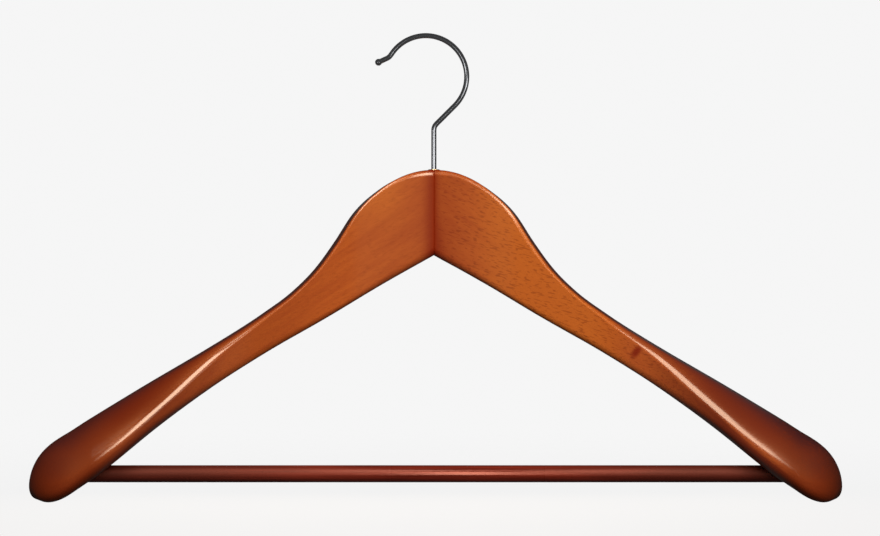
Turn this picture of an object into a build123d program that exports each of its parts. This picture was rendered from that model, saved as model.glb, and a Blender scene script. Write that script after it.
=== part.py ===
from build123d import *
from math import atan, cos, degrees, radians, sin, sqrt, tan
import os

# A contoured wooden suit hanger with a trouser bar, in millimetres.
# X runs to the viewer's right, Y away from the viewer and Z up. The origin lies on the hook's
# swivel axis, on the inside of the hook, where the hook rests on a rail.

os.makedirs("parts", exist_ok=True)

# Wire hook
wire_diameter = 3.0
hook_inner_radius = 22.2
hook_lean = 4.7
neck_height = 25.3
neck_slant = 45.0
neck_bend_radius = 5.0
crown_turn = 192.5
lip_turn = 33.0
lip_bend_radius = 6.0
lip_length = 5.2
tip_ball_diameter = 4.0
foot_head_diameter = 5.6
foot_head_height = 1.6
foot_edge_radius = 0.8

# Wooden arms
arm_reach = 223.5
arm_drop = 187.0
board_thickness = 15.0
shoulder_width = 50.0
joint_angle = 10.0
arm_bow = 25.2
edge_radius = 3.0
tip_round = 19.0
plane_turn_length = 60.0
slope_step = 2.0

# Glued joint between the arms
tongue_thickness = 7.0
tongue_length = 12.0

# Trouser bar and its pins
bar_diameter = 9.5
bar_rise = 16.0
bar_grip = 6.8
bar_glue_gap = 0.05
bar_end_gap = 0.5
bar_chamfer = 0.6
pin_diameter = 1.6
pin_length = 14.0
pin_setback = 4.5
pin_sink = 0.6
pin_glue_gap = 0.02

# Metal fittings at the head
ferrule_diameter = 5.0
ferrule_length = 9.0
ferrule_flange_diameter = 6.6
ferrule_flange_height = 0.9
ferrule_sink = 0.4
ferrule_edge_radius = 0.3
washer_diameter = 8.0
washer_thickness = 1.0
washer_seat_depth = 44.0
washer_seat_diameter = 9.0
shank_running_gap = 0.06
shank_bore_gap = 0.4
foot_end_gap = 0.05
press_gap = 0.01

# One named overrun serves every cut
overrun = 5.0

# Heights that follow from the hook
throat_radius = hook_inner_radius + wire_diameter / 2
slant = radians(neck_slant)
crown_height = neck_height + (throat_radius - hook_lean * cos(slant)) / sin(slant)
wood_top = -(crown_height + sqrt(hook_inner_radius**2 - hook_lean**2))

# The arm from the front: its upper and lower line, as shares of the reach and of the drop.
# The rows before 0 carry the head's crown on across the joint.
top_line_shares = (
    (-0.072, 0.0155),
    (0, 0),
    (0.072, 0.0155),
    (0.143, 0.063),
    (0.206, 0.136),
    (0.251, 0.220),
    (0.300, 0.301),
    (0.360, 0.374),
    (0.431, 0.438),
    (0.574, 0.548),
    (0.717, 0.648),
    (0.861, 0.753),
    (0.924, 0.801),
    (1, 0.838),
)
bottom_line_shares = (
    (0, 0.263),
    (0.143, 0.358),
    (0.287, 0.460),
    (0.431, 0.558),
    (0.574, 0.665),
    (0.717, 0.785),
    (0.861, 0.919),
    (0.924, 0.970),
    (1, 1.041),
)

# How far the board has swelled towards the shoulder's width, along the reach
swell_shares = (
    (0, 0),
    (0.48, 0),
    (0.55, 0.07),
    (0.65, 0.39),
    (0.75, 0.78),
    (0.85, 0.97),
    (1, 1),
)

# How far the edges have opened from the board's small rounding to the shoulder's full crown
opening_shares = (
    (0, 0),
    (0.47, 0),
    (0.52, 0.14),
    (0.60, 0.52),
    (0.68, 0.86),
    (0.76, 0.98),
    (1, 1),
)
crown_across_share = 0.48
crown_down_share = 0.68
keel_across_share = 0.27
keel_down_share = 0.28

# A round corner's handles stop this far short of the corner. A full crown's stop further
# short, which leaves a narrow ridge between two flatter faces.
round_handle_share = 0.448
crown_level_handle_share = 0.54
crown_upright_handle_share = 0.60

# Where the arm's sections stand, along the stretch before its rounded tip and round the tip
station_shares = (
    0, 0.035, 0.08, 0.13, 0.175, 0.215, 0.25, 0.29, 0.335, 0.39, 0.45, 0.505,
    0.555, 0.605, 0.655, 0.705, 0.76, 0.82, 0.88, 0.94,
)
tip_angles = (0, 22, 42, 58, 71, 81, 87)

# Halvings that find where the bar meets the arm
crossing_halvings = 40

# Where the arm's rounded tip starts
tip_start = arm_reach - tip_round


def along(table_shares, share):
    """Reads a table of shares at one place, by a smooth curve through its rows."""
    last = len(table_shares) - 1
    steps = [
        (b[1] - a[1]) / (b[0] - a[0]) for a, b in zip(table_shares, table_shares[1:])
    ]
    gaps = [b[0] - a[0] for a, b in zip(table_shares, table_shares[1:])]
    slopes = [steps[0]]
    for i in range(1, last):
        both = gaps[i - 1] + gaps[i]
        slopes.append((steps[i - 1] * gaps[i] + steps[i] * gaps[i - 1]) / both)
    slopes.append(steps[-1])
    row = max([0] + [i for i in range(last) if table_shares[i][0] <= share])
    u = (share - table_shares[row][0]) / gaps[row]
    start, end = table_shares[row][1], table_shares[row + 1][1]
    rise_in = slopes[row] * gaps[row]
    rise_out = slopes[row + 1] * gaps[row]
    bend = 3 * (end - start) - 2 * rise_in - rise_out
    twist = rise_in + rise_out - 2 * (end - start)
    return start + u * (rise_in + u * (bend + u * twist))


def arm_top(x):
    """Height of the arm's upper line."""
    return wood_top - arm_drop * along(top_line_shares, x / arm_reach)


def arm_bottom(x):
    """Height of the arm's lower line."""
    return wood_top - arm_drop * along(bottom_line_shares, x / arm_reach)


def arm_forward(x):
    """Where the middle of the arm lies in Y: it leans and bows towards the viewer."""
    return -(x * tan(radians(joint_angle)) + arm_bow * (x / arm_reach) ** 2)


def arm_heading(x):
    """Angle in plan, in degrees, by which the arm runs forward of the X axis."""
    return degrees(atan(tan(radians(joint_angle)) + 2 * arm_bow * x / arm_reach**2))


def section_turn(x):
    """Angle in plan of the section at x: none at the joint, square to the arm further out."""
    u = min(1, x / plane_turn_length)
    return arm_heading(x) * u * u * (3 - 2 * u)


def edge_depth(line, x):
    """How far down a section the board's edge rounding reaches where the line slopes."""
    slope = (line(x + slope_step) - line(x - slope_step)) / (2 * slope_step)
    return edge_radius * sqrt(1 + slope**2)


def draw_corner(corner, across, down, handle_shares):
    """Rounds one corner of a section; gives its level end and its upright end."""
    level_end = (corner[0] + across, corner[1])
    upright_end = (corner[0], corner[1] + down)
    Bezier(
        level_end,
        (corner[0] + across * handle_shares[0], corner[1]),
        (corner[0], corner[1] + down * handle_shares[1]),
        upright_end,
    )
    return level_end, upright_end


def section_plane(x):
    """The upright plane that carries the arm's section at x."""
    turn = radians(section_turn(x))
    return Plane(
        origin=(x, arm_forward(x), 0),
        x_dir=(sin(turn), cos(turn), 0),
        z_dir=(cos(turn), -sin(turn), 0),
    )


def arm_section(x, fullness):
    """The arm's closed outline at x; fullness shrinks it about its middle round the tip."""
    share = x / arm_reach
    swelling = (shoulder_width - board_thickness) * along(swell_shares, share)
    opening = along(opening_shares, share)
    skew = cos(radians(arm_heading(x) - section_turn(x)))
    width = (board_thickness + swelling) * fullness / skew
    height = (arm_top(x) - arm_bottom(x)) * fullness
    level = (arm_top(x) + arm_bottom(x)) / 2
    front, back = -width / 2, width / 2
    top, bottom = level + height / 2, level - height / 2
    rounding = edge_radius * fullness
    top_rounding = edge_depth(arm_top, x) * fullness
    low_rounding = edge_depth(arm_bottom, x) * fullness
    crown_across = rounding + (crown_across_share * width - rounding) * opening
    crown_down = top_rounding + (crown_down_share * height - top_rounding) * opening
    keel_across = rounding + (keel_across_share * width - rounding) * opening
    keel_down = low_rounding + (keel_down_share * height - low_rounding) * opening
    level_handle = crown_level_handle_share - round_handle_share
    upright_handle = crown_upright_handle_share - round_handle_share
    crown_handles = (
        round_handle_share + level_handle * opening,
        round_handle_share + upright_handle * opening,
    )
    round_handles = (round_handle_share, round_handle_share)
    with BuildSketch(section_plane(x)) as section:
        with BuildLine():
            front_top = draw_corner((front, top), crown_across, -crown_down, crown_handles)
            front_low = draw_corner((front, bottom), keel_across, keel_down, round_handles)
            back_low = draw_corner((back, bottom), -keel_across, keel_down, round_handles)
            back_top = draw_corner((back, top), -crown_across, -crown_down, crown_handles)
            Line(front_top[1], front_low[1])
            Line(front_low[0], back_low[0])
            Line(back_low[1], back_top[1])
            Line(back_top[0], front_top[0])
        make_face()
    return section.sketch


def arm_crossing(height):
    """Finds how far along the arm its lower line comes down to a height."""
    near, far = 0, tip_start
    for _ in range(crossing_halvings):
        middle = (near + far) / 2
        if arm_bottom(middle) > height:
            near = middle
        else:
            far = middle
    return near


# One plain arm, as a smooth body through its sections
stations = [(share * tip_start, 1) for share in station_shares]
for angle in tip_angles:
    place = tip_start + tip_round * sin(radians(angle))
    stations.append((place, cos(radians(angle))))

with BuildPart() as plain_arm:
    loft([arm_section(place, fullness) for place, fullness in stations])

# Places that the fittings share. The bar slants into the arm's underside, and its grip is
# measured from the place where the wood closes round it.
washer_seat = wood_top - washer_seat_depth
washer_under = washer_seat - washer_thickness
foot_top = washer_under - foot_end_gap
ferrule_seat = wood_top - ferrule_sink
shank_radius = wire_diameter / 2
head_bottom = arm_bottom(tongue_length) - overrun
bar_height = wood_top - arm_drop + bar_rise
bar_forward = arm_forward(arm_crossing(bar_height))
bar_cover = arm_crossing(bar_height - bar_diameter / 2 - bar_glue_gap)
bar_end = bar_cover + bar_grip
pin_place = bar_end - pin_setback
pin_foot = arm_bottom(pin_place) + pin_sink

# Stepped bore for the hook: ferrule seat above, clearance for the shank, washer seat below
bore_radius = shank_radius + shank_bore_gap
barrel_radius = ferrule_diameter / 2 + press_gap
flange_radius = ferrule_flange_diameter / 2 + press_gap
barrel_foot = ferrule_seat - ferrule_length - press_gap
with BuildPart() as hook_bore:
    with BuildSketch(Plane.XZ):
        with BuildLine():
            Polyline(
                (0, wood_top + overrun),
                (flange_radius, wood_top + overrun),
                (flange_radius, ferrule_seat),
                (barrel_radius, ferrule_seat),
                (barrel_radius, barrel_foot),
                (bore_radius, barrel_foot),
                (bore_radius, washer_seat),
                (washer_seat_diameter / 2, washer_seat),
                (washer_seat_diameter / 2, head_bottom),
                (0, head_bottom),
                close=True,
            )
        make_face()
    revolve(axis=Axis.Z)

# Space that the bar takes in the arms, from one blind end to the other
bar_axis = Plane(origin=(0, bar_forward, bar_height), z_dir=(1, 0, 0))
with BuildPart() as bar_space:
    with BuildSketch(bar_axis):
        Circle(bar_diameter / 2 + bar_glue_gap)
    extrude(amount=bar_end + bar_end_gap, both=True)

# Upright holes for the two bar pins, from below the shoulders up through the bar
pin_places = [(-pin_place, bar_forward), (pin_place, bar_forward)]
with BuildPart() as pin_holes:
    with BuildSketch(Plane.XY.offset(pin_foot - pin_sink - overrun)):
        with Locations(*pin_places):
            Circle(pin_diameter / 2 + pin_glue_gap)
    extrude(amount=pin_length + pin_sink + overrun + press_gap)

# The tongue of the glued joint: a slice of the left arm that belongs to the right one
with BuildPart() as tongue_space:
    with BuildSketch(Plane.XY.offset(head_bottom)):
        with Locations((-tongue_length / 2, 0)):
            Rectangle(tongue_length, tongue_thickness)
    extrude(amount=wood_top + overrun - head_bottom)

with BuildPart() as tongue:
    mirror(plain_arm.part, about=Plane.YZ)
    add(tongue_space.part, mode=Mode.INTERSECT)

with BuildPart() as left_arm:
    mirror(plain_arm.part, about=Plane.YZ)
    add(tongue_space.part, mode=Mode.SUBTRACT)
    add(hook_bore.part, mode=Mode.SUBTRACT)
    add(bar_space.part, mode=Mode.SUBTRACT)
    add(pin_holes.part, mode=Mode.SUBTRACT)
left_arm.part.label = "left_arm"
export_step(left_arm.part, "parts/left_arm.step")

with BuildPart() as right_arm:
    add(plain_arm.part)
    add(tongue.part)
    add(hook_bore.part, mode=Mode.SUBTRACT)
    add(bar_space.part, mode=Mode.SUBTRACT)
    add(pin_holes.part, mode=Mode.SUBTRACT)
right_arm.part.label = "right_arm"
export_step(right_arm.part, "parts/right_arm.step")

# Round trouser bar, chamfered at its ends and cross-drilled for its pins
with BuildPart() as trouser_bar:
    with BuildSketch(bar_axis):
        Circle(bar_diameter / 2)
    extrude(amount=bar_end, both=True)
    chamfer(trouser_bar.faces().filter_by(Axis.X).edges(), bar_chamfer)
    add(pin_holes.part, mode=Mode.SUBTRACT)
trouser_bar.part.label = "trouser_bar"
export_step(trouser_bar.part, "parts/trouser_bar.step")

# Headless brads that lock the bar, one in each arm
with BuildPart() as left_bar_pin:
    with BuildSketch(Plane.XY.offset(pin_foot)):
        with Locations(pin_places[0]):
            Circle(pin_diameter / 2)
    extrude(amount=pin_length)
left_bar_pin.part.label = "left_bar_pin"
export_step(left_bar_pin.part, "parts/left_bar_pin.step")

with BuildPart() as right_bar_pin:
    with BuildSketch(Plane.XY.offset(pin_foot)):
        with Locations(pin_places[1]):
            Circle(pin_diameter / 2)
    extrude(amount=pin_length)
right_bar_pin.part.label = "right_bar_pin"
export_step(right_bar_pin.part, "parts/right_bar_pin.step")

# Flanged bush that lines the top of the hook's bore
ferrule_bore = shank_radius + shank_running_gap
with BuildPart() as hook_ferrule:
    with BuildSketch(Plane.XY.offset(ferrule_seat - ferrule_length)):
        Circle(ferrule_diameter / 2)
    extrude(amount=ferrule_length)
    with BuildSketch(Plane.XY.offset(ferrule_seat)):
        Circle(ferrule_flange_diameter / 2)
    extrude(amount=ferrule_flange_height)
    fillet(hook_ferrule.edges().group_by(Axis.Z)[-1], ferrule_edge_radius)
    with Locations((0, 0, ferrule_seat + ferrule_flange_height)):
        Hole(ferrule_bore)
hook_ferrule.part.label = "hook_ferrule"
export_step(hook_ferrule.part, "parts/hook_ferrule.step")

# Thrust washer that the riveted foot of the hook bears on
with BuildPart() as hook_washer:
    with BuildSketch(Plane.XY.offset(washer_under)):
        Circle(washer_diameter / 2)
        Circle(ferrule_bore, mode=Mode.SUBTRACT)
    extrude(amount=washer_thickness)
hook_washer.part.label = "hook_washer"
export_step(hook_washer.part, "parts/hook_washer.step")

# Wire hook: upright shank, slanted neck, round crown and a small turned-out lip with a ball
neck_corner = wood_top + neck_height
bend_run = neck_bend_radius * tan(slant / 2)
crown_middle = wood_top + crown_height
crown_start = (throat_radius * cos(slant) - hook_lean, crown_middle - throat_radius * sin(slant))
with BuildPart() as hook:
    with BuildLine(Plane.XZ) as wire_path:
        shank = Line((0, foot_top), (0, neck_corner - bend_run))
        neck_bend = JernArc(shank @ 1, shank % 1, neck_bend_radius, -neck_slant)
        neck = Line(neck_bend @ 1, crown_start)
        crown = JernArc(neck @ 1, neck % 1, throat_radius, crown_turn)
        lip_bend = JernArc(crown @ 1, crown % 1, lip_bend_radius, -lip_turn)
        lip = Line(lip_bend @ 1, (lip_bend @ 1) + (lip_bend % 1) * lip_length)
    with BuildSketch(Plane.XY.offset(foot_top)):
        Circle(shank_radius)
    sweep(path=wire_path.wire())
    with Locations(lip @ 1):
        Sphere(tip_ball_diameter / 2)
    with BuildSketch(Plane.XY.offset(foot_top)):
        Circle(foot_head_diameter / 2)
    extrude(amount=-foot_head_height)
    fillet(hook.edges().sort_by(Axis.Z)[0], foot_edge_radius)
hook.part.label = "hook"
export_step(hook.part, "parts/hook.step")
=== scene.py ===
"""A wooden suit hanger with a trouser bar: lacquered beech, a bright wire hook, a pale studio."""

from __future__ import annotations

import logging
import math
from dataclasses import dataclass
from enum import Enum
from typing import Any, Callable

import bpy
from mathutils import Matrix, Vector

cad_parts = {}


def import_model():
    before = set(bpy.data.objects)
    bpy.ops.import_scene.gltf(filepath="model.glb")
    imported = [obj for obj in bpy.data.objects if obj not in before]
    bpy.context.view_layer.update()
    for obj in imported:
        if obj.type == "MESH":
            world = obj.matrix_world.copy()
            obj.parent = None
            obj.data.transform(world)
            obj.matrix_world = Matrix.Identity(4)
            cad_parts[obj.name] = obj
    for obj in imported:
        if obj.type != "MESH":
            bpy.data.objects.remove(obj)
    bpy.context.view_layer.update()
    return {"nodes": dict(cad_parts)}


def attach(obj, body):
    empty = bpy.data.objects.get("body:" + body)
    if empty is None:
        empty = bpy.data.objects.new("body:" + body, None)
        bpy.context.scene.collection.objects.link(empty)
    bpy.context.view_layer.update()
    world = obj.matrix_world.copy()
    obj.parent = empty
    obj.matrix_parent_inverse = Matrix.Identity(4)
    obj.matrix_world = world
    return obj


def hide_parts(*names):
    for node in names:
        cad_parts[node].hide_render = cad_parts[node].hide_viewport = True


log = logging.getLogger("hanger")

Colour = tuple[float, float, float]
Point = tuple[float, float, float]
Spot = tuple[float, float]
Table = tuple[Spot, ...]
OPAQUE = 1.0
WHITE: Colour = (1.0, 1.0, 1.0)
UNTURNED: Point = (0.0, 0.0, 0.0)

# How many finer layers a noise has, and how strong each one is.
SMOOTH: Spot = (0.0, 0.5)
SOFT: Spot = (1.0, 0.5)
FIBROUS: Spot = (2.0, 0.5)
STREAKY: Spot = (3.0, 0.6)

# The Mix node's sockets for colours by number, because its sockets' names repeat.
MIX_START = 6
MIX_END = 7
MIX_RESULT = 2


class Side(Enum):
    """Which arm of the hanger, and which way it runs along X."""

    LEFT = -1
    RIGHT = 1


class Wave:
    """One output of a shader node, which plain arithmetic can go on from."""

    def __init__(self, bench: Bench, socket: bpy.types.NodeSocket) -> None:
        """Keeps the node tree that the output belongs to.

        Args:
            bench: The node tree being built.
            socket: The output socket.
        """
        self.bench = bench
        self.socket = socket

    def __add__(self, other: Wave | float) -> Wave:
        """Adds a value."""
        return self.bench.math("ADD", self, other)

    def __radd__(self, other: float) -> Wave:
        """Adds this to a number."""
        return self.bench.math("ADD", other, self)

    def __sub__(self, other: Wave | float) -> Wave:
        """Takes a value away."""
        return self.bench.math("SUBTRACT", self, other)

    def __rsub__(self, other: float) -> Wave:
        """Takes this away from a number."""
        return self.bench.math("SUBTRACT", other, self)

    def __mul__(self, other: Wave | float) -> Wave:
        """Multiplies by a value."""
        return self.bench.math("MULTIPLY", self, other)

    def __rmul__(self, other: float) -> Wave:
        """Multiplies a number by this."""
        return self.bench.math("MULTIPLY", other, self)

    def __truediv__(self, other: Wave | float) -> Wave:
        """Divides by a value."""
        return self.bench.math("DIVIDE", self, other)

    def __rtruediv__(self, other: float) -> Wave:
        """Divides a number by this."""
        return self.bench.math("DIVIDE", other, self)


class Bench:
    """The node tree of one material, built up one node at a time."""

    def __init__(self, tree: bpy.types.NodeTree) -> None:
        """Starts on an empty tree.

        Args:
            tree: The material's or the world's node tree.
        """
        tree.nodes.clear()
        self.tree = tree

    def node(
        self,
        kind: str,
        settings: dict[str, Any] | None = None,
        inputs: dict[str | int, Any] | None = None,
        output: str | int = 0,
    ) -> Wave:
        """Adds a node.

        Args:
            kind: The node's type, without its ShaderNode prefix.
            settings: The node's own properties.
            inputs: Values or links of its sockets, by name or by number.
            output: The output that is wanted.

        Returns:
            That output.
        """
        made = self.tree.nodes.new("ShaderNode" + kind)
        for name, value in (settings or {}).items():
            setattr(made, name, value)
        for name, value in (inputs or {}).items():
            if isinstance(value, Wave):
                self.tree.links.new(value.socket, made.inputs[name])
            else:
                made.inputs[name].default_value = value
        return Wave(self, made.outputs[output] if made.outputs else None)

    def math(self, operation: str, *values: Wave | float) -> Wave:
        """Adds a Math node on one to three values.

        Args:
            operation: The Math node's operation.
            values: Its operands, in order.

        Returns:
            The result.
        """
        return self.node("Math", {"operation": operation}, dict(enumerate(values)))

    def smooth(self, value: Wave, low: float, high: Wave | float) -> Wave:
        """Goes smoothly from 0 to 1.

        Args:
            value: What it follows.
            low: The value where it is 0, which may be the higher one.
            high: The value where it is 1.

        Returns:
            The smooth step.
        """
        return self.node(
            "MapRange",
            {"interpolation_type": "SMOOTHSTEP"},
            {"Value": value, "From Min": low, "From Max": high},
        )

    def bell(self, value: Wave, centre: float, half_width: Wave | float) -> Wave:
        """Draws a bell curve.

        Args:
            value: What it follows.
            centre: The value where it is 1.
            half_width: How far from there it falls to about a third.

        Returns:
            The curve.
        """
        away = (value - centre) / half_width
        return self.math("EXPONENT", away * away * -1.0)

    def blend(self, share: Wave | float, start: Wave | Colour, end: Wave | Colour) -> Wave:
        """Mixes two colours.

        Args:
            share: 0 for the start colour, 1 for the end colour.
            start: The first colour.
            end: The second colour.

        Returns:
            The mixed colour.
        """
        colours = [c if isinstance(c, Wave) else (*c, OPAQUE) for c in (start, end)]
        return self.node(
            "Mix",
            {"data_type": "RGBA"},
            {"Factor": share, MIX_START: colours[0], MIX_END: colours[1]},
            MIX_RESULT,
        )

    def turned(self, vector: Wave, angles: Point, scale: Point) -> Wave:
        """Turns and stretches coordinates.

        Args:
            vector: The coordinates.
            angles: Turns about X, Y and Z, in radians.
            scale: Factors along the turned axes.

        Returns:
            The new coordinates.
        """
        turn = self.node("Mapping", None, {"Vector": vector, "Rotation": angles})
        return self.node("Mapping", None, {"Vector": turn, "Scale": scale})

    def noise(self, vector: Wave, layers: Spot) -> Wave:
        """Reads noise, about 0.5 on average, one wave to each unit of the coordinates.

        Args:
            vector: The coordinates.
            layers: How many finer layers it has, and how strong each one is.

        Returns:
            The noise.
        """
        detail, roughness = layers
        sizes = {"Vector": vector, "Scale": 1.0, "Detail": detail, "Roughness": roughness}
        return self.node("TexNoise", None, sizes)

    def close(self, **inputs: Any) -> None:
        """Ends the tree with a Principled shader.

        Args:
            inputs: The shader's values or links, with _ for each space in a socket's name.
        """
        named = {name.replace("_", " "): value for name, value in inputs.items()}
        shader = self.node("BsdfPrincipled", None, named)
        self.node("OutputMaterial", None, {"Surface": shader})


def new_bench(name: str) -> tuple[bpy.types.Material, Bench]:
    """Starts a material.

    Args:
        name: The material's name.

    Returns:
        The material and its bench.
    """
    material = bpy.data.materials.new(name)
    material.use_nodes = True
    return material, Bench(material.node_tree)


@dataclass(frozen=True)
class Fade:
    """A smooth step: nothing up to one value, and its full strength from another on."""

    start: float
    end: float
    strength: float = 1.0

    def of(self, value: Wave) -> Wave:
        """Reads the step at a value."""
        step = value.bench.smooth(value, self.start, self.end)
        return step if self.strength == 1.0 else step * self.strength

    def less(self, value: Wave) -> Wave:
        """Reads what the step leaves of 1."""
        return 1.0 - self.of(value)


@dataclass(frozen=True)
class Surface:
    """Where a point of an arm lies in the hanger's frame, and which way it looks."""

    place: Wave
    x: Wave
    height: Wave
    out: Wave
    facing: Wave
    upward: Wave
    sideways: Wave

    @classmethod
    def read(cls, bench: Bench) -> Surface:
        """Adds the nodes that read it.

        Args:
            bench: The material's node tree.

        Returns:
            The place, its X and Z and its distance from the middle plane, in metres, and how
            much the surface faces forward or back, up, and sideways, up to 1.
        """
        place = bench.node("TexCoord", None, None, "Object")
        normal = bench.node("TexCoord", None, None, "Normal")

        def part(vector: Wave, axis: str) -> Wave:
            """Takes one coordinate of a vector."""
            return bench.node("SeparateXYZ", None, {0: vector}, axis)

        x = part(place, "X")
        return cls(
            place=place,
            x=x,
            height=part(place, "Z"),
            out=bench.math("ABSOLUTE", x),
            facing=bench.math("ABSOLUTE", part(normal, "Y")),
            upward=part(normal, "Z"),
            sideways=bench.math("ABSOLUTE", part(normal, "X")),
        )


@dataclass(frozen=True)
class StainedBeech:
    """Beech, stained and sprayed with clear lacquer, as on the arms, with light and shade painted
    over its colour.

    A field that holds a pair has the left arm's value first. A fade's name holds the reading of
    Surface that it follows: out, x, height, facing, upward or sideways. Tone, fleck and knot
    follow patterns of their own.
    """

    side: Side

    # Honey and amber are the wood's own tones. The third colour paints light on the head, russet
    # paints shade on the shoulder and also colours the flecks, the next two paint shade and dark
    # reflection along the edges, tips and outline, and crimson colours the blush, the knot and the
    # crease, which is partly painted shade.
    honey: Colour = (0.228, 0.058, 0.012)
    amber: Colour = (0.167, 0.033, 0.0085)
    painted_light_gold: Colour = (0.270, 0.081, 0.014)
    russet: Colour = (0.070, 0.009, 0.003)
    crimson: Colour = (0.100, 0.0055, 0.001)
    shade_plum: Colour = (0.014, 0.0035, 0.008)
    shade_dark: Colour = (0.012, 0.0035, 0.0025)

    # The grain: wide patches, streaks, fine fibres, and the short dark flecks of beech.
    grain_slope: float = math.radians(33)
    grain_lean: float = math.radians(14)
    patch_length: float = 0.090
    patch_width: float = 0.045
    streak_length: float = 0.060
    streak_width: float = 0.0028
    fibre_length: float = 0.014
    fibre_width: float = 0.00035
    fleck_slope: float = math.radians(18)
    fleck_length: float = 0.0032
    fleck_width: float = 0.00066
    patch_share: float = 0.5
    streak_share: float = 0.55
    fibre_share: float = 0.25
    tone_shift: float = -0.15
    tone: Fade = Fade(0.25, 0.80)
    fleck: Fade = Fade(0.58, 0.72)
    fleck_strengths: Spot = (0.16, 0.42)

    # Painted light and shade: the top of the left head and the right neck painted paler as light,
    # the ridge and the front face kept paler as painted light, and the shoulder, its crown, its
    # edges, its tips and the outline painted darker as shade.
    gold_height_left: Fade = Fade(-0.118, -0.088, 0.6)
    gold_out_left: Fade = Fade(0.008, 0.030)
    gold_from_out_right: Fade = Fade(0.018, 0.040, 0.6)
    gold_to_out_right: Fade = Fade(0.115, 0.085)
    shoulder_out: Fade = Fade(0.105, 0.165, 0.92)
    ridge_facing: Fade = Fade(0.86, 0.955, 0.85)
    bulbs_out: tuple[Fade, Fade] = (Fade(0.172, 0.190), Fade(0.179, 0.199))
    pale_front_upward: Fade = Fade(0.16, 0.0, 0.30)
    crown_upward: Fade = Fade(0.16, 0.36, 0.38)
    crown_out: Fade = Fade(0.095, 0.115)
    under_upward: Fade = Fade(0.05, -0.15)
    below_upward: Fade = Fade(-0.40, -0.80, 0.85)
    turned_facing: Fade = Fade(0.90, 0.30, 0.8)
    turned_under_lift: float = 0.25
    edge_facing: Fade = Fade(0.74, 0.12, 0.85)
    edge_under_lift: float = 0.35
    edge_out: Fade = Fade(0.10, 0.20)
    band_upward: Fade = Fade(0.62, 0.90, 0.75)
    band_out: Fade = Fade(0.155, 0.205)
    top_upward: Fade = Fade(0.10, 0.55, 0.45)
    top_out: Fade = Fade(0.178, 0.210)
    shaded_ends_out: tuple[Fade, Fade] = (Fade(0.206, 0.2255, 0.25), Fade(0.206, 0.2255, 0.5))
    rim_facing: float = 0.05
    rim_facing_at_head: float = 0.60
    rim_narrowing_out: Fade = Fade(0.085, 0.120, 0.22)
    rim_under_drop: float = 0.24
    rim_strength: float = 0.85
    rim_sideways: Fade = Fade(0.75, 0.98, 0.35)
    arm_shade_out_left: Fade = Fade(0.05, 0.10, 0.26)

    # The blush and the knot of the right arm, and the dark crease between the arms, partly painted
    # shade in the valley and partly lacquer pooled in the joint.
    blush_place: float = 0.007
    blush_half_width: float = 0.010
    blush_strength: float = 0.30
    knot_place: Point = (0.1135, -0.0365, -0.1796)
    knot_size: Point = (0.0062, 0.030, 0.0032)
    knot_slope: float = math.radians(54)
    knot: Fade = Fade(1.0, 0.2, 0.90)
    crease_place: float = -0.0006
    crease_half_widths: Spot = (0.0050, 0.0032)
    crease_strength: float = 0.92
    crease_flare_height: Fade = Fade(-0.098, -0.122)
    crease_flares: Spot = (0.0, 0.0026)

    # The wood's own sheen and pores.
    roughness: float = 0.38
    bulb_roughness: float = 0.25
    sheen_below: float = 0.25
    sheen_tint: Colour = (1.0, 0.45, 0.15)
    pore_depth: float = 0.00005
    pore_strength: float = 0.25
    streak_relief: float = 0.4
    fibre_relief: float = 0.6
    fleck_relief: float = -0.4

    # The lacquer, rubbed thin along the neck's edges, at the joint, on the bulb and underneath.
    lacquer_roughness: float = 0.16
    neck_from_out: Fade = Fade(0.040, 0.050, 0.9)
    neck_to_out: Fade = Fade(0.113, 0.098)
    joint_half_width: float = 0.0012
    edge_upward: Fade = Fade(0.03, 0.12)
    head_edge_x_right: Fade = Fade(0.028, 0.016, 0.93)
    head_patch_left: float = -0.0160
    head_patch_half_width: float = 0.0050
    head_patch_strength: float = 0.6
    dull_crown_upward_left: Fade = Fade(0.36, 0.43, 0.95)
    dull_crown_out_left: Fade = Fade(0.085, 0.095)

    def own(self, pair: tuple[Any, Any]) -> Any:
        """Picks this arm's value from a pair."""
        return pair[self.side is Side.RIGHT]

    def make(self) -> bpy.types.Material:
        """Builds the finish of one arm.

        Returns:
            The material.
        """
        material, bench = new_bench(f"lacquered_beech_{self.side.name.lower()}")
        on = Surface.read(bench)
        patches = self._grain(on, self.grain_slope, self.patch_length, self.patch_width, SOFT)
        streaks = self._grain(on, self.grain_slope, self.streak_length, self.streak_width, STREAKY)
        fibres = self._grain(on, self.grain_slope, self.fibre_length, self.fibre_width, FIBROUS)
        flecks = self._grain(on, self.fleck_slope, self.fleck_length, self.fleck_width, SMOOTH)
        fleck = self.fleck.of(flecks)
        tone = (
            patches * self.patch_share
            + streaks * self.streak_share
            + fibres * self.fibre_share
            + self.tone_shift
        )
        bulb = self.own(self.bulbs_out).of(on.out)
        colour = bench.blend(self.tone.of(tone), self.honey, self.amber)
        # The painted light and shade are laid on first, then the marks in the wood.
        for cover, overlay in self._painted_light_and_shade(on, bulb) + self._marks(on, fleck):
            colour = bench.blend(cover, colour, overlay)
        relief = (
            streaks * self.streak_relief + fibres * self.fibre_relief + fleck * self.fleck_relief
        )
        pores = {"Strength": self.pore_strength, "Distance": self.pore_depth, "Height": relief}
        bench.close(
            Base_Color=colour,
            Roughness=self.roughness + bulb * self.bulb_roughness,
            Specular_IOR_Level=self.sheen_below,
            Specular_Tint=(*self.sheen_tint, OPAQUE),
            Normal=bench.node("Bump", None, pores),
            Coat_Weight=self._lacquer(on, bulb),
            Coat_Roughness=self.lacquer_roughness,
        )
        return material

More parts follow.
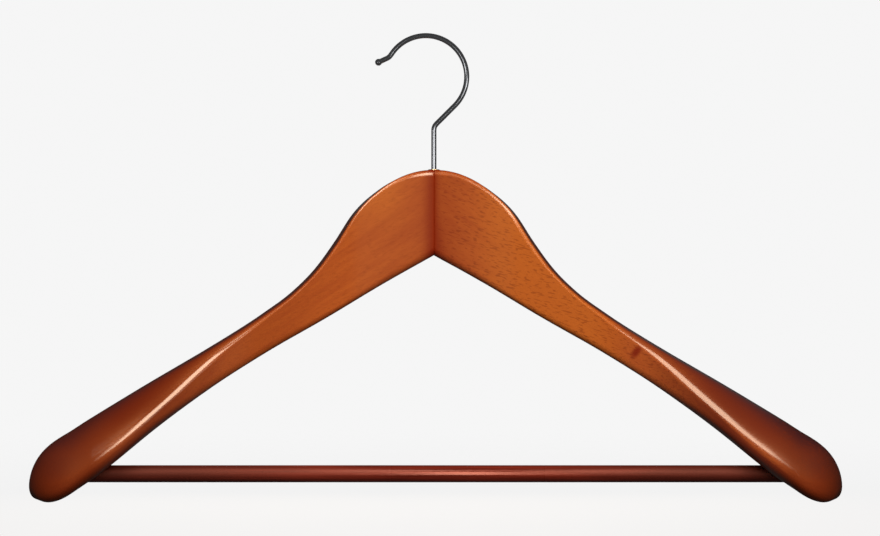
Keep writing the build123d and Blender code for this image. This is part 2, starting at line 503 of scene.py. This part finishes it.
    def _grain(self, on: Surface, slope: float, length: float, width: float, layers: Spot) -> Wave:
        """Reads noise that is drawn out along the grain.

        Args:
            on: The surface.
            slope: How steeply the grain falls outward.
            length: The noise's size along the grain.
            width: Its size across the grain.
            layers: How many finer layers it has, and how strong each one is.

        Returns:
            The noise.
        """
        sign = self.side.value
        angles = (0.0, -sign * slope, sign * self.grain_lean)
        bench = on.place.bench
        along = bench.turned(on.place, angles, (1 / length, 1 / width, 1 / width))
        return bench.noise(along, layers)

    def _painted_light_and_shade(self, on: Surface, bulb: Wave) -> list[tuple[Wave, Colour]]:
        """Lists the painted light and shade over the bare wood.

        Args:
            on: The surface.
            bulb: 1 on the shoulder's rounded end, and 0 along the arm.

        Returns:
            Each one's cover and colour, in the order in which they are laid on.
        """
        level = 1.0 - bulb
        # Painted shade: the shoulder darkens outward, less where it faces forward at the ridge,
        # which is kept paler as painted light.
        shoulder = self.shoulder_out.of(on.out) * (1.0 - self.ridge_facing.of(on.facing) * level)
        # Painted light: the top of the left head and the right neck are painted paler, and on the
        # left the shoulder's lower, front-facing side is kept paler too.
        if self.side is Side.LEFT:
            painted_light_gold = self.gold_height_left.of(on.height) * self.gold_out_left.of(on.out)
            shoulder = shoulder * (1.0 - self.pale_front_upward.of(on.upward) * level)
        else:
            painted_light_gold = self.gold_from_out_right.of(on.out) * self.gold_to_out_right.of(on.out)
        under = self.under_upward.of(on.upward)
        kept = self.below_upward.less(on.upward)
        # Painted shade where the surface turns away from the front: the turned sides, the
        # shoulder's edges and a dark rim outline, fading out where the surface faces down.
        turned = self.turned_facing.of(on.facing + under * self.turned_under_lift) * kept
        edge = self.edge_facing.of(on.facing + under * self.edge_under_lift) * kept
        rim_end = self.rim_facing_at_head - self.rim_narrowing_out.of(on.out)
        rim_facing = on.facing - under * self.rim_under_drop
        rim = 1.0 - on.facing.bench.smooth(rim_facing, self.rim_facing, rim_end)
        rim = rim * self.rim_sideways.less(on.sideways) * kept * self.rim_strength
        painted_layers = [
            (painted_light_gold, self.painted_light_gold),
            (shoulder, self.russet),
            # Painted shade on the shoulder's upward-facing crown.
            (self.crown_upward.of(on.upward) * self.crown_out.of(on.out), self.russet),
            (turned, self.russet),
            # Painted shade and dark reflection along the shoulder's edges, on its upward-facing
            # band and on the tops of the bulbs.
            (edge * self.edge_out.of(on.out), self.shade_plum),
            (self.band_upward.of(on.upward) * self.band_out.of(on.out), self.shade_plum),
            (self.top_upward.of(on.upward) * self.top_out.of(on.out), self.shade_plum),
            # Painted shade at the tips and in the dark outline along the rim.
            (self.own(self.shaded_ends_out).of(on.out), self.shade_dark),
            (rim, self.shade_dark),
        ]
        if self.side is Side.LEFT:
            painted_layers.append((self.arm_shade_out_left.of(on.out), self.russet))
        return painted_layers

    def _marks(self, on: Surface, fleck: Wave) -> list[tuple[Wave, Colour]]:
        """Lists the marks in the wood, flecks, blush and knot, and the crease, whose darkening is
        partly painted shade.

        Args:
            on: The surface.
            fleck: 1 in a fleck, and 0 beside it.

        Returns:
            Each mark's cover and colour, in order.
        """
        bench = on.place.bench
        marks = [(fleck * self.own(self.fleck_strengths), self.russet)]
        if self.side is Side.RIGHT:
            blush = bench.bell(on.x, self.blush_place, self.blush_half_width)
            marks.append((blush * self.blush_strength, self.crimson))
            marks.append((self._knot(on), self.crimson))
        # The crease's darkening is partly painted shade in the valley between the arms and partly
        # lacquer pooled in the joint.
        flare = self.crease_flare_height.of(on.height) * self.own(self.crease_flares)
        half_width = flare + self.own(self.crease_half_widths)
        crease = bench.bell(on.x, self.crease_place, half_width)
        marks.append((crease * self.crease_strength, self.crimson))
        return marks

    def _knot(self, on: Surface) -> Wave:
        """Draws a small dark pin knot.

        Args:
            on: The surface.

        Returns:
            The knot's cover, strongest at its heart.
        """
        bench = on.place.bench
        off = bench.node("VectorMath", {"operation": "SUBTRACT"}, {0: on.place, 1: self.knot_place})
        size = tuple(1 / length for length in self.knot_size)
        spot = bench.turned(off, (0.0, self.knot_slope, 0.0), size)
        away = bench.node("VectorMath", {"operation": "LENGTH"}, {0: spot}, "Value")
        return self.knot.of(away)

    def _lacquer(self, on: Surface, bulb: Wave) -> Wave:
        """Works out how thick the lacquer is.

        Args:
            on: The surface.
            bulb: 1 on the shoulder's rounded end, and 0 along the arm.

        Returns:
            Its weight, 1 where it is whole.
        """
        bench = on.place.bench
        rounded = self.edge_upward.of(on.upward)
        if self.side is Side.RIGHT:
            head = self.head_edge_x_right.of(on.x) * rounded
        else:
            patch = bench.bell(on.x, self.head_patch_left, self.head_patch_half_width)
            crown = self.dull_crown_upward_left.of(on.upward) * self.dull_crown_out_left.of(on.out)
            head = patch * rounded * self.head_patch_strength + crown
        thin = bulb
        for rubbed in (
            self.neck_from_out.of(on.out) * self.neck_to_out.of(on.out),
            bench.bell(on.x, 0.0, self.joint_half_width),
            self.below_upward.of(on.upward),
            head,
        ):
            thin = bench.math("MAXIMUM", thin, rubbed)
        return 1.0 - thin


@dataclass(frozen=True)
class StainedBar:
    """The same wood as a turned dowel, stained darker and redder, worn smooth in the middle, and
    painted darker towards its ends as shade under the arms.
    """

    light: Colour = (0.094, 0.0120, 0.0068)
    dark: Colour = (0.052, 0.0062, 0.0036)
    end_shade: Colour = (0.016, 0.002, 0.001)
    streak_length: float = 0.050
    streak_width: float = 0.0016
    tone: Fade = Fade(0.3, 0.7)
    shaded_ends_out: Fade = Fade(0.060, 0.150, 0.68)
    worn_place: float = 0.018
    worn_half_length: float = 0.075
    worn_roughness: float = 0.14
    roughness: float = 0.62
    sheen_below: float = 0.42
    sheen_tint: Colour = (1.0, 0.46, 0.40)
    pore_depth: float = 0.00005
    pore_strength: float = 0.2

    def make(self) -> bpy.types.Material:
        """Builds the bar's finish.

        Returns:
            The material.
        """
        material, bench = new_bench("stained_dowel")
        place = bench.node("TexCoord", None, None, "Object")
        size = (1 / self.streak_length, 1 / self.streak_width, 1 / self.streak_width)
        streaks = bench.noise(bench.turned(place, UNTURNED, size), STREAKY)
        x = bench.node("SeparateXYZ", None, {0: place}, "X")
        out = bench.math("ABSOLUTE", x)
        colour = bench.blend(self.tone.of(streaks), self.light, self.dark)
        # Painted shade: the bar darkens towards its ends, where it runs in under the arms.
        colour = bench.blend(self.shaded_ends_out.of(out), colour, self.end_shade)
        worn = bench.bell(x, self.worn_place, self.worn_half_length)
        pores = {"Strength": self.pore_strength, "Distance": self.pore_depth, "Height": streaks}
        bench.close(
            Base_Color=colour,
            Roughness=self.roughness - worn * (self.roughness - self.worn_roughness),
            Specular_IOR_Level=self.sheen_below,
            Specular_Tint=(*self.sheen_tint, OPAQUE),
            Normal=bench.node("Bump", None, pores),
        )
        return material


@dataclass(frozen=True)
class Metal:
    """A metal finish with fine scuffs, which are a little darker and duller."""

    name: str
    colour: Colour
    roughness: float
    scuff_roughness: float
    scuff_size: float = 0.0012
    scuff_cover: float = 0.25
    scuff_shade: float = 0.7

    def make(self) -> bpy.types.Material:
        """Builds the finish.

        Returns:
            The material.
        """
        material, bench = new_bench(self.name)
        place = bench.node("TexCoord", None, None, "Object")
        scuffs = bench.noise(bench.turned(place, UNTURNED, (1 / self.scuff_size,) * 3), STREAKY)
        darker = tuple(part * self.scuff_shade for part in self.colour)
        bench.close(
            Base_Color=bench.blend(scuffs * self.scuff_cover, self.colour, darker),
            Metallic=1.0,
            Roughness=self.roughness + scuffs * self.scuff_roughness,
        )
        return material


def dress(node: bpy.types.Object, material: bpy.types.Material) -> None:
    """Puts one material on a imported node.

    Args:
        node: The node's object.
        material: Its finish.
    """
    for slot in node.material_slots:
        slot.material = material
    log.info("%s: %s", node.name, material.name)


@dataclass(frozen=True)
class ArmShape:
    """The form of one arm, from the same sizes and shares as its solid, in metres.

    Each table's first column is a share of the reach. The second is a share of the drop in the
    top and bottom lines, of the whole change in swell and opening, and of the way to the corner
    in upper_handle, and it is a size in upper_across and upper_reach.
    """

    reach: float = 0.2235
    drop: float = 0.187
    wood_top: float = -0.0758136
    board: float = 0.015
    shoulder: float = 0.04992
    joint_slope: float = math.tan(math.radians(10))
    bow: float = 0.0252
    tip: float = 0.019
    turn_length: float = 0.060

    # The rounding of the edges along the neck.
    edge: float = 0.0035
    upper_across: Table = ((0, 0.0018), (0.20, 0.0019), (0.34, 0.0034), (0.5, 0.0035), (1, 0.0035))
    upper_reach: Table = ((0, 0.0037), (0.17, 0.0036), (0.27, 0.0034), (0.5, 0.0035), (1, 0.0035))
    upper_handle: Table = ((0, 0.52), (0.17, 0.50), (0.27, 0.448), (0.5, 0.448), (1, 0.448))
    lower_reach: float = 0.0042

    # The arm's outline from the front, and how the neck opens into the shoulder.
    top_line: Table = (
        (-0.072, 0.0155),
        (0, 0),
        (0.072, 0.0155),
        (0.143, 0.063),
        (0.206, 0.136),
        (0.251, 0.220),
        (0.300, 0.301),
        (0.360, 0.374),
        (0.431, 0.438),
        (0.574, 0.548),
        (0.717, 0.648),
        (0.861, 0.753),
        (0.924, 0.801),
        (1, 0.838),
    )
    bottom_line: Table = (
        (0, 0.263),
        (0.143, 0.358),
        (0.287, 0.460),
        (0.431, 0.558),
        (0.574, 0.665),
        (0.717, 0.785),
        (0.861, 0.919),
        (0.924, 0.970),
        (1, 1.041),
    )
    swell: Table = (
        (0, 0),
        (0.48, 0),
        (0.55, 0.07),
        (0.65, 0.39),
        (0.75, 0.78),
        (0.85, 0.97),
        (1, 1),
    )
    opening: Table = (
        (0, 0),
        (0.47, 0),
        (0.52, 0.14),
        (0.60, 0.52),
        (0.68, 0.86),
        (0.76, 0.98),
        (1, 1),
    )

    # The shoulder's rounding: shares of its width and height, and of the way to the corner.
    crown_across: float = 0.48
    crown_down: float = 0.68
    keel_across: float = 0.27
    keel_down: float = 0.28
    round_handle: float = 0.448
    crown_handles: Spot = (0.54, 0.60)

    # How finely the arm is cut.
    crown_steps: int = 40
    keel_steps: int = 12
    side_steps: int = 8
    flat_steps: int = 5
    station_step: float = 0.0007
    tip_steps: int = 26
    tip_turn: float = math.radians(89.4)
    slope_step: float = 0.002

    # The groove along the centre joint.
    seam_depth: float = 0.00012
    seam_width: float = 0.0003

    @staticmethod
    def along(table: Table, share: float) -> float:
        """Reads a table at one place, by a smooth curve through its rows.

        Args:
            table: Rows of a place and its value.
            share: The place.

        Returns:
            The value there.
        """
        gaps = [b[0] - a[0] for a, b in zip(table, table[1:])]
        steps = [(b[1] - a[1]) / gap for a, b, gap in zip(table, table[1:], gaps)]
        slopes = [steps[0]]
        for i in range(1, len(steps)):
            both = gaps[i - 1] + gaps[i]
            slopes.append((steps[i - 1] * gaps[i] + steps[i] * gaps[i - 1]) / both)
        slopes.append(steps[-1])
        row = max([0] + [i for i in range(len(gaps)) if table[i][0] <= share])
        u = (share - table[row][0]) / gaps[row]
        start, end = table[row][1], table[row + 1][1]
        rise_in, rise_out = slopes[row] * gaps[row], slopes[row + 1] * gaps[row]
        bend = 3 * (end - start) - 2 * rise_in - rise_out
        twist = rise_in + rise_out - 2 * (end - start)
        return start + u * (rise_in + u * (bend + u * twist))

    def upper(self, x: float) -> float:
        """Height of the arm's upper line."""
        return self.wood_top - self.drop * self.along(self.top_line, x / self.reach)

    def lower(self, x: float) -> float:
        """Height of the arm's lower line."""
        return self.wood_top - self.drop * self.along(self.bottom_line, x / self.reach)

    def forward(self, x: float) -> float:
        """Where the middle of the arm lies in Y."""
        return -(x * self.joint_slope + self.bow * (x / self.reach) ** 2)

    def heading(self, x: float) -> float:
        """Angle in plan by which the arm runs forward."""
        return math.atan(self.joint_slope + 2 * self.bow * x / self.reach**2)

    def turn(self, x: float) -> float:
        """Angle in plan of the ring at x: none at the joint, square to the arm further out."""
        u = min(1.0, x / self.turn_length)
        return self.heading(x) * u * u * (3 - 2 * u)

    def depth(self, line: Callable[[float], float], x: float, reach: float) -> float:
        """Works out how far down a ring an edge's rounding goes where its line slopes.

        Args:
            line: The height of the edge's line at a place.
            x: The place along the reach.
            reach: How far the rounding goes square to the line.

        Returns:
            How far it goes straight down.
        """
        slope = (line(x + self.slope_step) - line(x - self.slope_step)) / (2 * self.slope_step)
        return reach * math.sqrt(1 + slope**2)

    @staticmethod
    def corner(place: Spot, across: float, down: float, handles: Spot, steps: int) -> list[Spot]:
        """Rounds one corner of a ring.

        Args:
            place: The sharp corner.
            across: How far the rounding runs along the level side.
            down: How far it runs along the upright side.
            handles: Where its curve's handles stop, as shares towards the corner.
            steps: How many pieces it is cut into.

        Returns:
            Its points, from the level end to the upright end.
        """
        level, upright = (place[0] + across, place[1]), (place[0], place[1] + down)
        first = (place[0] + across * handles[0], place[1])
        second = (place[0], place[1] + down * handles[1])
        points = []
        for step in range(steps + 1):
            t = step / steps
            weights = ((1 - t) ** 3, 3 * t * (1 - t) ** 2, 3 * t * t * (1 - t), t**3)
            points.append(
                tuple(
                    sum(w * p[axis] for w, p in zip(weights, (level, first, second, upright)))
                    for axis in (0, 1)
                )
            )
        return points

    def ring(self, x: float, fullness: float, inset: float) -> list[Point]:
        """Draws the arm's closed outline at one place.

        Args:
            x: The place along the reach.
            fullness: Shrinks the ring about its middle, round the tip.
            inset: How far it is drawn in, at the joint's seam.

        Returns:
            Its points, for the arm that runs to positive X.
        """
        share = x / self.reach
        swelling = (self.shoulder - self.board) * self.along(self.swell, share)
        opening = self.along(self.opening, share)
        turn = self.turn(x)
        skew = math.cos(self.heading(x) - turn)
        width = (self.board + swelling) * fullness / skew - 2 * inset
        height = (self.upper(x) - self.lower(x)) * fullness - 2 * inset
        level = (self.upper(x) + self.lower(x)) / 2
        top, bottom = level + height / 2, level - height / 2

        def opened(small: float, full: float) -> float:
            """Goes from the neck's value to the shoulder's."""
            return small + (full - small) * opening

        rounding = self.edge * fullness
        upper_reach = self.depth(self.upper, x, self.along(self.upper_reach, share))
        lower_reach = self.depth(self.lower, x, self.lower_reach)
        upper_handle = self.along(self.upper_handle, share)
        crown = (
            opened(self.along(self.upper_across, share) * fullness, self.crown_across * width),
            opened(upper_reach * fullness, self.crown_down * height),
            tuple(opened(upper_handle, handle) for handle in self.crown_handles),
            self.crown_steps,
        )
        keel = (
            opened(rounding, self.keel_across * width),
            -opened(lower_reach * fullness, self.keel_down * height),
            (self.round_handle, self.round_handle),
            self.keel_steps,
        )
        quarters = []
        for side in (-1, 1):
            for place, (across, down, handles, steps) in ((top, crown), (bottom, keel)):
                at = (side * width / 2, place)
                quarters.append(self.corner(at, -side * across, -down, handles, steps))
        front_top, front_low, back_top, back_low = quarters
        runs = (
            (front_top, self.side_steps),
            (front_low[::-1], self.flat_steps),
            (back_low, self.side_steps),
            (back_top[::-1], self.flat_steps),
        )
        outline: list[Spot] = []
        for index, (run, cuts) in enumerate(runs):
            outline += run
            start, end = run[-1], runs[(index + 1) % len(runs)][0][0]
            for cut in range(1, cuts):
                t = cut / cuts
                outline.append(tuple(a + (b - a) * t for a, b in zip(start, end)))
        middle = self.forward(x)
        return [(x + a * math.sin(turn), middle + a * math.cos(turn), z) for a, z in outline]

    def rings(self) -> list[list[Point]]:
        """Draws the rings of the arm.

        Returns:
            Every ring, from the joint's seam to the tip.
        """
        tip_start = self.reach - self.tip
        count = round(tip_start / self.station_step)
        rings = [self.ring(0.0, 1.0, self.seam_depth), self.ring(self.seam_width, 1.0, 0.0)]
        rings += [self.ring(tip_start * i / count, 1.0, 0.0) for i in range(1, count)]
        for step in range(self.tip_steps + 1):
            angle = self.tip_turn * step / self.tip_steps
            place = tip_start + self.tip * math.sin(angle)
            rings.append(self.ring(place, math.cos(angle), 0.0))
        return rings


def new_piece(name: str, points: list[Point], faces: list[list[int]]) -> bpy.types.Object:
    """Makes a mesh object.

    Args:
        name: The object's name.
        points: Its points.
        faces: Its faces, by the numbers of their points.

    Returns:
        The object, in the scene.
    """
    mesh = bpy.data.meshes.new(name)
    mesh.from_pydata(points, [], faces)
    mesh.validate()
    piece = bpy.data.objects.new(name, mesh)
    bpy.context.collection.objects.link(piece)
    return piece


def carve(piece: bpy.types.Object, tool: bpy.types.Object, operation: str) -> None:
    """Cuts a piece with another, and keeps the result as its mesh.

    Args:
        piece: The piece that changes.
        tool: What it is cut with.
        operation: The Boolean modifier's operation.
    """
    cut = piece.modifiers.new("cut", "BOOLEAN")
    cut.operation, cut.object, cut.solver = operation, tool, "EXACT"
    graph = bpy.context.evaluated_depsgraph_get()
    mesh = bpy.data.meshes.new_from_object(piece.evaluated_get(graph))
    piece.modifiers.clear()
    piece.data = mesh


# The right arm's upper edge, rounded wider than the left one's along the neck.
RIGHT_REACH: Table = (
    (0, 0.0036),
    (0.07, 0.0037),
    (0.12, 0.0040),
    (0.19, 0.0044),
    (0.30, 0.0037),
    (0.5, 0.0035),
    (1, 0.0035),
)
RIGHT_HANDLE: Table = (
    (0, 0.52),
    (0.12, 0.60),
    (0.19, 0.60),
    (0.30, 0.448),
    (0.5, 0.448),
    (1, 0.448),
)


@dataclass
class Arms:
    """The two lacquered arms, glued at a tongue in the head."""

    left_shape: ArmShape = ArmShape()
    right_shape: ArmShape = ArmShape(upper_reach=RIGHT_REACH, upper_handle=RIGHT_HANDLE)
    tongue_thickness: float = 0.007
    tongue_length: float = 0.012
    washer_seat_depth: float = 0.044
    washer_seat_radius: float = 0.0045
    overrun: float = 0.005
    seat_sides: int = 64
    sharp_angle: float = math.radians(38)

    def build(self) -> None:
        """Makes both arms, cuts the joint and the washer's seat into them, and dresses them."""
        seat = self._seat_cutter()
        slot = self._slot_cutter("tongue_slot", self.overrun)
        tongue = self._slot_cutter("tongue", 0.0)
        left, right = self._arm(Side.LEFT), self._arm(Side.RIGHT)
        carve(tongue, left, "INTERSECT")
        carve(left, slot, "DIFFERENCE")
        carve(right, tongue, "UNION")
        for side, arm in ((Side.LEFT, left), (Side.RIGHT, right)):
            carve(arm, seat, "DIFFERENCE")
            for face in arm.data.polygons:
                face.use_smooth = True
            arm.data.set_sharp_from_angle(angle=self.sharp_angle)
            arm.data.materials.clear()
            arm.data.materials.append(StainedBeech(side).make())
            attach(arm, "hanger")
            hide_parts(f"{side.name.lower()}_arm")
            log.info("%s: %d faces", arm.name, len(arm.data.polygons))
        for tool in (seat, slot, tongue):
            bpy.data.objects.remove(tool)

    def _arm(self, side: Side) -> bpy.types.Object:
        """Skins one arm over its rings.

        Args:
            side: Which arm it is.

        Returns:
            The arm, without the joint and the washer's seat.
        """
        rings = (self.left_shape if side is Side.LEFT else self.right_shape).rings()
        size = len(rings[0])
        points = [(side.value * x, y, z) for ring in rings for x, y, z in ring]
        faces = []
        for row in range(len(rings) - 1):
            for i in range(size):
                j = (i + 1) % size
                near, far = row * size, (row + 1) * size
                faces.append([near + i, near + j, far + j, far + i])
        last = (len(rings) - 1) * size
        faces.append(list(range(size))[::-1])
        faces.append([last + i for i in range(size)])
        if side is Side.LEFT:
            faces = [face[::-1] for face in faces]
        return new_piece(f"arm_{side.name.lower()}", points, faces)

    def _slot_cutter(self, name: str, overrun: float) -> bpy.types.Object:
        """Makes a block for the tongue or for its slot.

        Args:
            name: The block's name.
            overrun: How far it goes past the joint.

        Returns:
            The block, which is higher than the head.
        """
        low = self.left_shape.lower(self.tongue_length) - self.overrun
        high = self.left_shape.wood_top + self.overrun
        half = self.tongue_thickness / 2
        spans = ((-self.tongue_length, overrun), (-half, half), (low, high))
        points = [(x, y, z) for x in spans[0] for y in spans[1] for z in spans[2]]
        faces = [[0, 1, 3, 2], [4, 6, 7, 5], [0, 4, 5, 1], [2, 3, 7, 6], [0, 2, 6, 4], [1, 5, 7, 3]]
        return new_piece(name, points, faces)

    def _seat_cutter(self) -> bpy.types.Object:
        """Makes a plug for the washer's seat.

        Returns:
            A round plug that goes into the head from below.
        """
        low = self.left_shape.lower(0.0) - 2 * self.overrun
        ends = (low, self.left_shape.wood_top - self.washer_seat_depth)
        turns = [2 * math.pi * i / self.seat_sides for i in range(self.seat_sides)]
        radius = self.washer_seat_radius
        points = [(radius * math.cos(t), radius * math.sin(t), z) for z in ends for t in turns]
        count = self.seat_sides
        faces = [[i, (i + 1) % count, count + (i + 1) % count, count + i] for i in range(count)]
        faces += [list(range(count))[::-1], list(range(count, 2 * count))]
        return new_piece("seat_plug", points, faces)


@dataclass
class Bar:
    """The trouser bar and its two pins."""

    nodes: dict[str, bpy.types.Object]
    wood: StainedBar = StainedBar()
    steel: Metal = Metal(
        "pin_steel", colour=(0.45, 0.44, 0.43), roughness=0.35, scuff_roughness=0.2
    )

    def build(self) -> None:
        """Dresses the bar and the pins."""
        dress(self.nodes["trouser_bar"], self.wood.make())
        steel = self.steel.make()
        for side in Side:
            node = self.nodes[f"{side.name.lower()}_bar_pin"]
            dress(node, steel)


@dataclass
class HookAndBush:
    """The wire hook with the bush and the washer that it turns in."""

    nodes: dict[str, bpy.types.Object]
    chrome: Metal = Metal(
        "chrome_wire", colour=(0.56, 0.57, 0.59), roughness=0.12, scuff_roughness=0.08
    )
    brass: Metal = Metal(
        "brassed_bush", colour=(0.55, 0.45, 0.28), roughness=0.22, scuff_roughness=0.2
    )
    steel: Metal = Metal(
        "washer_steel", colour=(0.5, 0.5, 0.49), roughness=0.3, scuff_roughness=0.2
    )

    def build(self) -> None:
        """Dresses the three metal pieces."""
        finishes = {
            "hook": (self.chrome, "hook_chrome"),
            "hook_ferrule": (self.brass, "ferrule_brass"),
            "hook_washer": (self.steel, "washer_steel"),
        }
        for name, (finish, slot) in finishes.items():
            dress(self.nodes[name], finish.make())


@dataclass(frozen=True)
class Softbox:
    """One rectangular soft light that faces the hanger, with its angles in degrees.

    It lights either the hook alone or everything but the hook, and gloss says whether it shows
    in reflections.
    """

    name: str
    azimuth: float
    elevation: float
    width: float
    height: float
    radiance: float
    tint: Colour = (1.0, 0.78, 0.58)
    distance: float = 1.7
    gloss: bool = True
    for_wire: bool = False

    def hang(self, aim: Vector, wire: bpy.types.Object) -> None:
        """Adds the light.

        Args:
            aim: The point that it faces.
            wire: The hook, which has two cards of its own and is kept out of the other lights.
        """
        light = bpy.data.lights.new(self.name, "AREA")
        light.shape = "RECTANGLE"
        light.size, light.size_y = self.width, self.height
        light.energy = self.radiance * math.pi * self.width * self.height
        light.color = self.tint
        lamp = bpy.data.objects.new(self.name, light)
        lamp.visible_camera = False
        lamp.visible_glossy = self.gloss
        bpy.context.collection.objects.link(lamp)
        azimuth, elevation = math.radians(self.azimuth), math.radians(self.elevation)
        flat = math.cos(elevation)
        towards = Vector(
            (math.sin(azimuth) * flat, -math.cos(azimuth) * flat, math.sin(elevation))
        )
        lamp.location = aim + towards * self.distance
        lamp.rotation_euler = towards.to_track_quat("Z", "Y").to_euler()
        lit = bpy.data.collections.new(f"{self.name}_on_hook")
        lit.objects.link(wire)
        lit.collection_objects[0].light_linking.link_state = (
            "INCLUDE" if self.for_wire else "EXCLUDE"
        )
        lamp.light_linking.receiver_collection = lit


@dataclass
class Studio:
    """The pale floor and surround, the soft lights and the camera."""

    wire: bpy.types.Object

    # The surround and the floor, which fades out between two distances from the middle.
    backdrop: float = 0.92
    room_glow: float = 0.07
    floor_height: float = -0.42
    floor_radius: float = 5.0
    floor_sides: int = 96
    floor_fade: Fade = Fade(3.0, 0.8)
    floor_colour: Colour = (0.03, 0.03, 0.03)
    floor_glow: float = 0.8556

    # Each light's azimuth, elevation, width, height and radiance follow its name.
    boxes: tuple[Softbox, ...] = (
        Softbox("key_left", -21, 42, 1.00, 0.85, 12.5),
        Softbox("key_right", 31, 31, 0.85, 0.75, 17.0),
        Softbox("low_right", 46, 8, 0.35, 0.30, 2.5),
        Softbox("centre", 2, 8, 0.15, 1.25, 22.0),
        Softbox("back", 180, 6, 0.90, 0.60, 9.0, gloss=False),
        Softbox("card_left", -26, 4, 1.10, 0.22, 2.0, WHITE, for_wire=True),
        Softbox("card_right", 26, 4, 1.10, 0.22, 2.2, WHITE, for_wire=True),
    )
    aim: Point = (0.0, -0.03, -0.16)

    # The photograph's framing.
    camera_place: Point = (-0.0225, -1.4, -0.1323)
    camera_tilt: float = math.radians(90)
    camera_lens: float = 99.08
    camera_shift: float = 0.0512
    camera_sensor: float = 36.0
    camera_range: Spot = (0.05, 50.0)

    def build(self) -> None:
        """Makes everything round the hanger."""
        bpy.context.scene.view_settings.view_transform = "Standard"
        self._surround()
        self._floor()
        for box in self.boxes:
            box.hang(Vector(self.aim), self.wire)
        self._camera()

    def _surround(self) -> None:
        """Sets a pale surround to look at, which lights the hanger only dimly."""
        world = bpy.data.worlds.new("surround")
        world.use_nodes = True
        bpy.context.scene.world = world
        bench = Bench(world.node_tree)
        seen = bench.node("LightPath", None, None, "Is Camera Ray")
        glow = seen * (self.backdrop - self.room_glow) + self.room_glow
        light = bench.node("Background", None, {"Color": (*WHITE, OPAQUE), "Strength": glow})
        bench.node("OutputWorld", None, {"Surface": light})

    def _floor(self) -> None:
        """Lays a wide pale floor that fades into the surround and casts no light up."""
        material, bench = new_bench("pale_floor")
        place = bench.node("TexCoord", None, None, "Object")
        reach = bench.node("VectorMath", {"operation": "LENGTH"}, {0: place}, "Value")
        near = self.floor_fade.of(reach)
        above = 1.0 - bench.node("NewGeometry", None, None, "Backfacing")
        diffuse = bench.node("BsdfDiffuse", None, {"Color": (*self.floor_colour, OPAQUE)})
        glow = bench.node("Emission", None, {"Strength": self.floor_glow})
        both = bench.node("AddShader", None, {0: diffuse, 1: glow})
        clear = bench.node("BsdfTransparent")
        shader = bench.node("MixShader", None, {0: near * above, 1: clear, 2: both})
        bench.node("OutputMaterial", None, {"Surface": shader})
        bpy.ops.mesh.primitive_circle_add(
            vertices=self.floor_sides,
            radius=self.floor_radius,
            fill_type="NGON",
            location=(0, 0, self.floor_height),
        )
        floor = bpy.context.object
        floor.name = "floor"
        floor.data.materials.append(material)
        floor.visible_diffuse = floor.visible_glossy = False

    def _camera(self) -> None:
        """Sets the camera at the photograph's viewing angle."""
        data = bpy.data.cameras.new("camera")
        data.lens = self.camera_lens
        data.sensor_width = self.camera_sensor
        data.shift_x = self.camera_shift
        data.clip_start, data.clip_end = self.camera_range
        camera = bpy.data.objects.new("camera", data)
        bpy.context.collection.objects.link(camera)
        camera.location = self.camera_place
        camera.rotation_euler = (self.camera_tilt, 0, 0)
        bpy.context.scene.camera = camera


def main() -> None:
    """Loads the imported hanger, dresses it and sets the studio round it."""
    logging.basicConfig(level=logging.INFO, format="%(message)s")
    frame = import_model()
    nodes = frame["nodes"]
    Arms().build()
    Bar(nodes).build()
    HookAndBush(nodes).build()
    Studio(nodes["hook"]).build()


if __name__ == "__main__":
    main()
